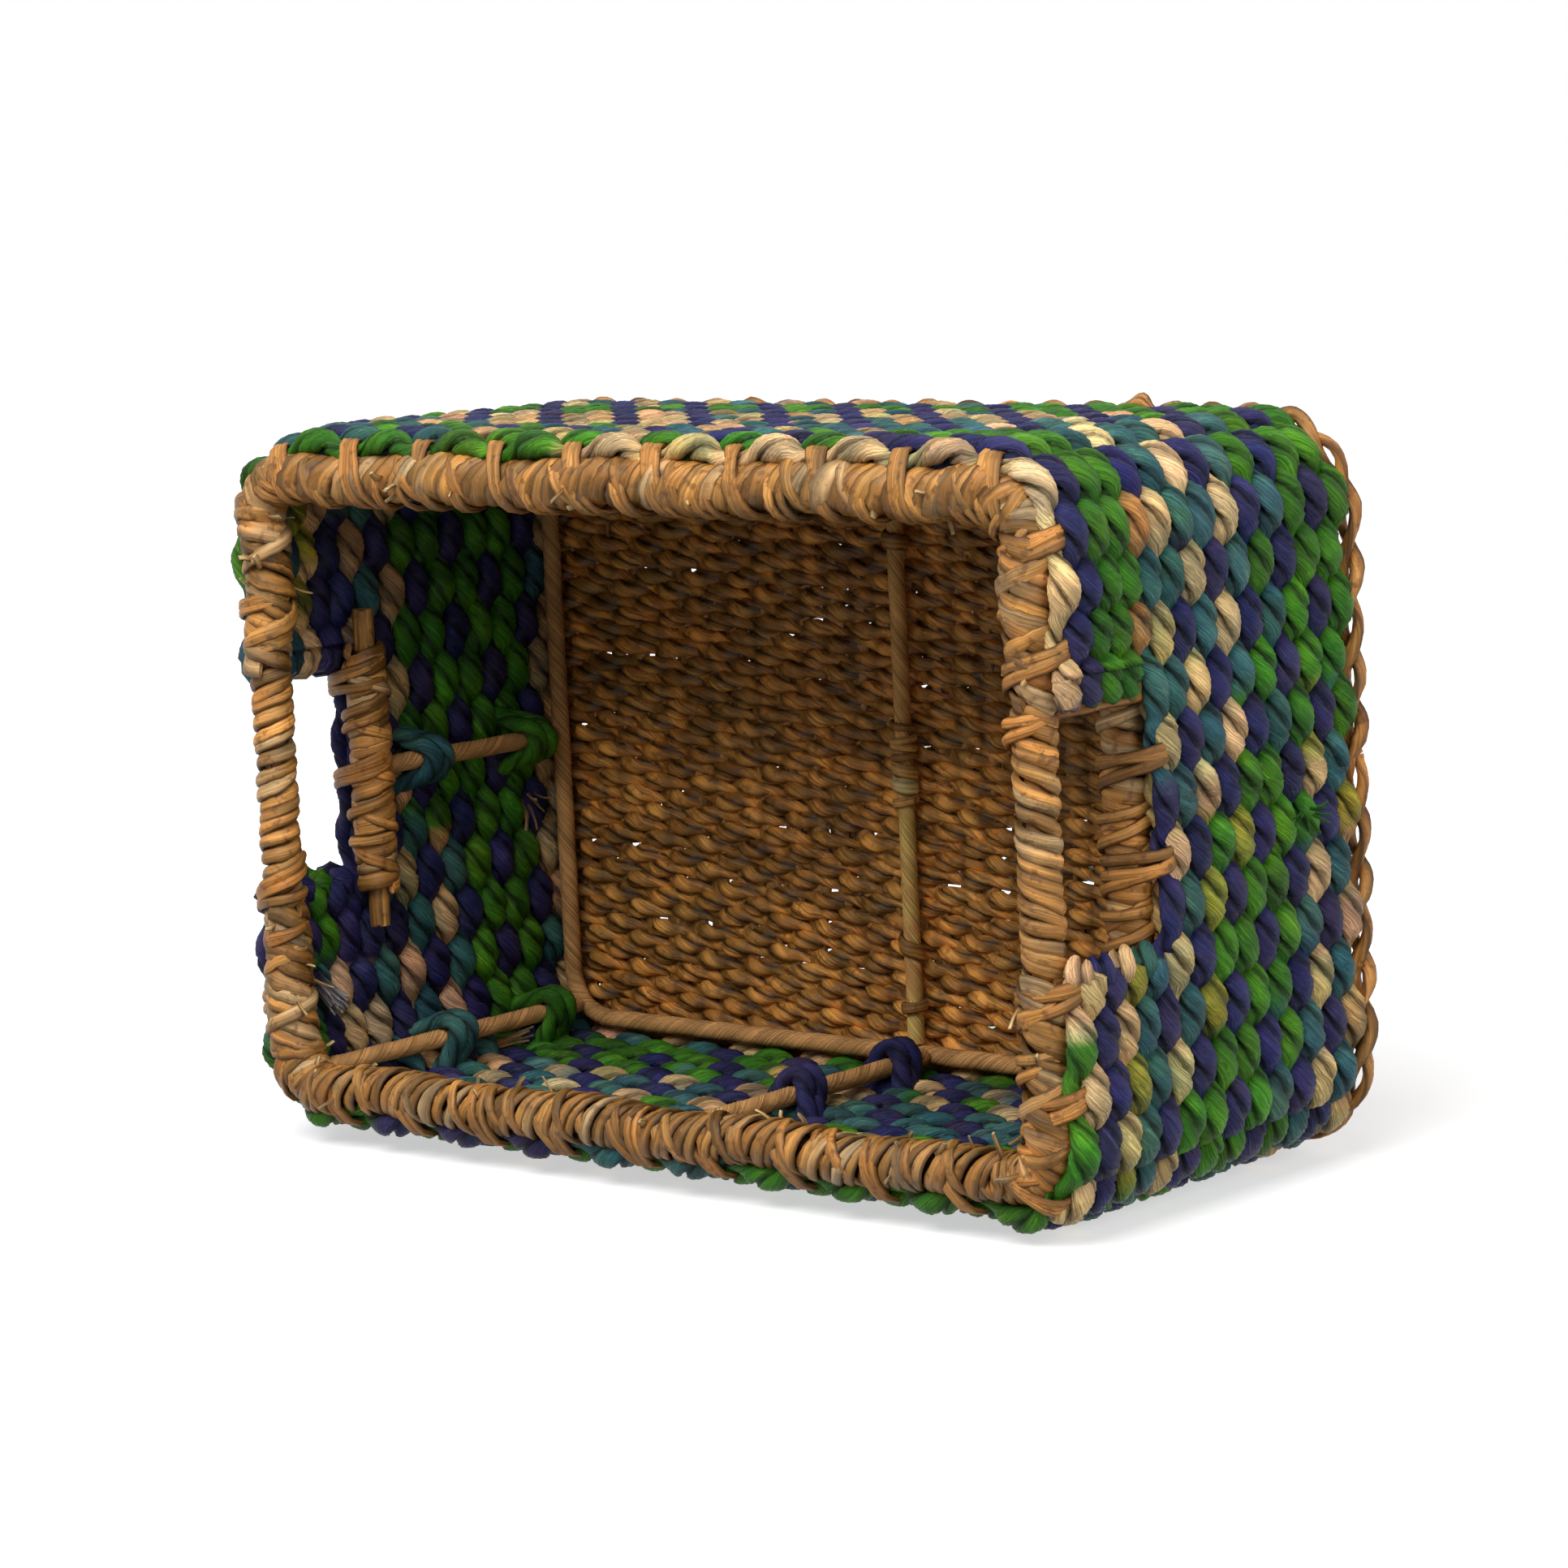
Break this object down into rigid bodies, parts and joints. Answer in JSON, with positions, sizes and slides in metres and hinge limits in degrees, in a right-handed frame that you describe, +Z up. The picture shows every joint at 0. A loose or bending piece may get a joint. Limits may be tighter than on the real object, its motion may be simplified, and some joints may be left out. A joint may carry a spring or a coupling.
{
  "type": "rectangular handled basket",
  "caption": "Rectangular woven seagrass basket on a wrapped wire frame, with a cut-out handle in each short wall and a raised foot edging.",
  "frame": {"origin": "middle of the footprint, on the surface that the foot edging stands on", "axes": "+Z up out of the open top, X along the long walls, handles in the walls at -X and +X"},
  "size_m": [0.4418, 0.2958, 0.1956],
  "materials": {
    "rod_paper": "twisted brown paper over wire, matt",
    "floor_leaf": "undyed twisted leaf, satin",
    "rim_leaf": "undyed flat leaf strip, satin",
    "natural_cord": "undyed two-ply cord",
    "cream_cord": "bleached two-ply cord",
    "navy_cord": "navy dyed two-ply cord, silky",
    "teal_cord": "teal dyed two-ply cord, silky",
    "green_cord": "green dyed two-ply cord, silky",
    "lime_cord": "pale lime dyed two-ply cord, silky"
  },
  "bodies": {
    "root": {"rim_rod": "rod_paper", "base_ring_rod": "rod_paper", "base_crossbar": "rod_paper", "corner_upright_front_left": "rod_paper", "corner_upright_front_right": "rod_paper", "corner_upright_back_left": "rod_paper", "corner_upright_back_right": "rod_paper", "long_side_upright_front": "rod_paper", "long_side_upright_back": "rod_paper", "sill_upright_left": "rod_paper", "sill_upright_right": "rod_paper", "sill_bar_left": "rod_paper", "sill_bar_right": "rod_paper", "woven_floor": "floor_leaf", "foot_edging": "rim_leaf", "wall_course_01": "natural_cord", "wall_course_02": "teal_cord", "wall_course_03": "navy_cord", "wall_course_04": "green_cord", "wall_course_05": "navy_cord", "wall_course_06": "green_cord", "wall_course_07": "lime_cord", "wall_course_08": "teal_cord", "wall_course_09": "cream_cord", "wall_course_10_front": "natural_cord", "wall_course_10_back": "green_cord", "wall_course_11_front": "navy_cord", "wall_course_11_back": "green_cord", "wall_course_12_front": "lime_cord", "wall_course_12_back": "navy_cord", "wall_course_13_front": "green_cord", "wall_course_13_back": "cream_cord", "rim_wrap_front": "rim_leaf", "rim_wrap_back": "rim_leaf", "grip_winding_left": "rim_leaf", "grip_winding_right": "rim_leaf", "sill_wrap_left": "rim_leaf", "sill_wrap_right": "rim_leaf", "lashing_lower_corner_upright_front_left": "green_cord", "lashing_upper_corner_upright_front_left": "teal_cord", "lashing_lower_corner_upright_front_right": "green_cord", "lashing_upper_corner_upright_front_right": "teal_cord", "lashing_lower_corner_upright_back_left": "green_cord", "lashing_upper_corner_upright_back_left": "teal_cord", "lashing_lower_corner_upright_back_right": "green_cord", "lashing_upper_corner_upright_back_right": "teal_cord", "lashing_lower_long_side_upright_front": "navy_cord", "lashing_upper_long_side_upright_front": "navy_cord", "lashing_lower_long_side_upright_back": "navy_cord", "lashing_upper_long_side_upright_back": "navy_cord", "lashing_lower_sill_upright_left": "green_cord", "lashing_upper_sill_upright_left": "teal_cord", "lashing_lower_sill_upright_right": "green_cord", "lashing_upper_sill_upright_right": "teal_cord", "crossbar_tie": "rim_leaf"}
  },
  "joints": []
}
